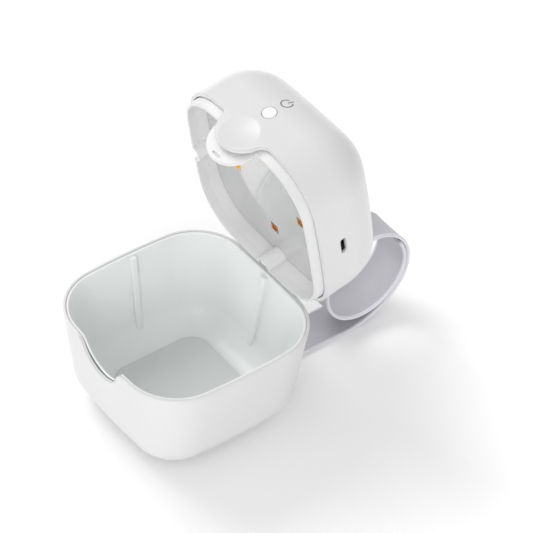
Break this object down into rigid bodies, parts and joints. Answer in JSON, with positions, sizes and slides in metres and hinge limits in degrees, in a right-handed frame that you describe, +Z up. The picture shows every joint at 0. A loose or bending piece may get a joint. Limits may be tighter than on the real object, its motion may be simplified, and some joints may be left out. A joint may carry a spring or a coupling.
{
  "type": "pacifier sterilizer case",
  "caption": "Rounded square sterilizer case with a hinged domed lid, ultraviolet lamps under it, a round finger tab and a rolled carrying strap",
  "frame": {"origin": "middle of the base's flat underside, on the surface it stands on", "axes": "+Z up, -Y towards the front with the notch and the button, +X towards the charging socket; lid stored open at the rear"},
  "size_m": [0.0848, 0.1513, 0.1353],
  "materials": {
    "white_shell": "smooth glossy white injection-moulded plastic",
    "bowl_liner": "smooth white plastic liner",
    "grey_plate": "smooth pale grey plastic plate",
    "steel": "plain steel",
    "strap": "soft matte silicone band in lavender grey",
    "strap_patch": "short-pile hook-and-loop patch",
    "board_plastic": "black moulded plastic",
    "frame_white": "satin white plastic",
    "mirror_plate": "reflective ultraviolet mirror film",
    "circuit_board": "green solder mask on laminate",
    "grey_mark": "grey inlaid mark",
    "led_white": "clear indicator package",
    "foam": "closed-cell foam pad",
    "battery_wrap": "lithium cell pouch",
    "button_white": "smooth glossy white plastic",
    "amber_led": "amber lens on a square package"
  },
  "bodies": {
    "base": {"base_shell": "white_shell", "inner_bowl": "bowl_liner", "floor_plate": "grey_plate", "base_magnet": "steel", "hinge_pin": "steel", "strap_band": "strap", "strap_closure": "strap_patch", "strap_anchor": "board_plastic", "anchor_screws": "steel"},
    "lid": {"lid_shell": "white_shell", "lid_frame": "frame_white", "reflector_plate": "mirror_plate", "led_board": "circuit_board", "uv_led_1": "amber_led", "uv_led_2": "amber_led", "uv_led_3": "amber_led", "uv_led_4": "amber_led", "control_board": "circuit_board", "frame_screws": "steel", "board_header": "board_plastic", "usb_port": "steel", "controller_chip": "board_plastic", "power_symbol": "grey_mark", "tact_switch": "board_plastic", "hall_sensor": "board_plastic", "status_led": "led_white", "battery_pad": "foam", "battery": "battery_wrap"},
    "button": {"power_button": "button_white"}
  },
  "joints": [
    {"name": "lid_hinge", "type": "hinge", "parent": "base", "child": "lid", "pos_m": [0, 0.04376, 0.04975], "axis": [-1, 0, 0], "range_deg": [-78.35, 0]},
    {"name": "button_press", "type": "slide", "parent": "lid", "child": "button", "axis": [0, 0.1745, -0.9847], "range_m": [0, 0.0004], "stiffness_N_per_m": 300}
  ]
}
